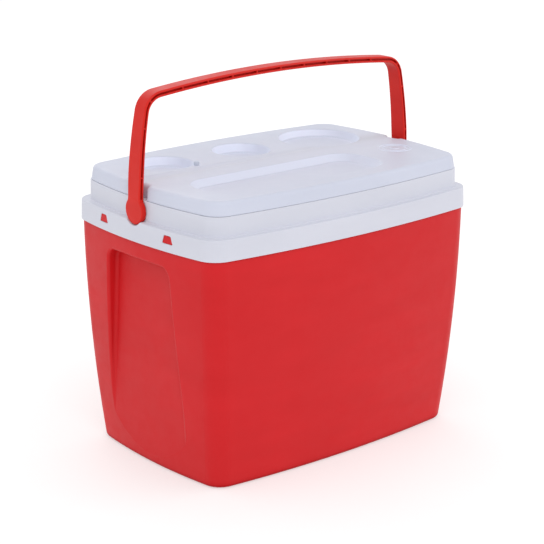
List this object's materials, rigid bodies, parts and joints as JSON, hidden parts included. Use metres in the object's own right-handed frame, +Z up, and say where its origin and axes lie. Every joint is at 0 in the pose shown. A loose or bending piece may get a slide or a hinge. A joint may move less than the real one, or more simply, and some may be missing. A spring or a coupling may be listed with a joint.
{
  "type": "insulated hand cooler box",
  "caption": "Insulated picnic cooler: tapered bowed body with end grips, stepped collar, lift-off lid with drink recesses and a folding swing handle.",
  "frame": {"origin": "middle of the flat base, on the surface it stands on", "axes": "+Z up, +X along the long side, +Y towards the back long side (the drink cup recesses lie on the +Y half of the lid)"},
  "size_m": [0.445, 0.3047, 0.4791],
  "materials": {
    "shell_red": "satin",
    "handle_red": "satin",
    "collar_white": "satin",
    "lid_white": "satin",
    "liner_white": "satin",
    "plug_grey": "matte",
    "foam": "matte"
  },
  "bodies": {
    "box": {"outer_shell": "shell_red", "rim_collar": "collar_white", "inner_liner": "liner_white", "insulation_front": "foam", "insulation_back": "foam", "insulation_left": "foam", "insulation_right": "foam", "insulation_base": "foam"},
    "lid": {"lid_top_shell": "lid_white", "lid_fill_plug": "plug_grey", "lid_insulation": "foam", "lid_inner_pan": "liner_white"},
    "handle": {"handle_bail": "handle_red"}
  },
  "joints": [
    {"name": "handle_swing", "type": "hinge", "parent": "box", "child": "handle", "pos_m": [0, 0, 0.3279], "axis": [1, 0, 0], "range_deg": [-88, 88]},
    {"name": "lid_lift", "type": "slide", "parent": "box", "child": "lid", "axis": [0, 0, 1], "range_m": [0, 0.06]}
  ]
}
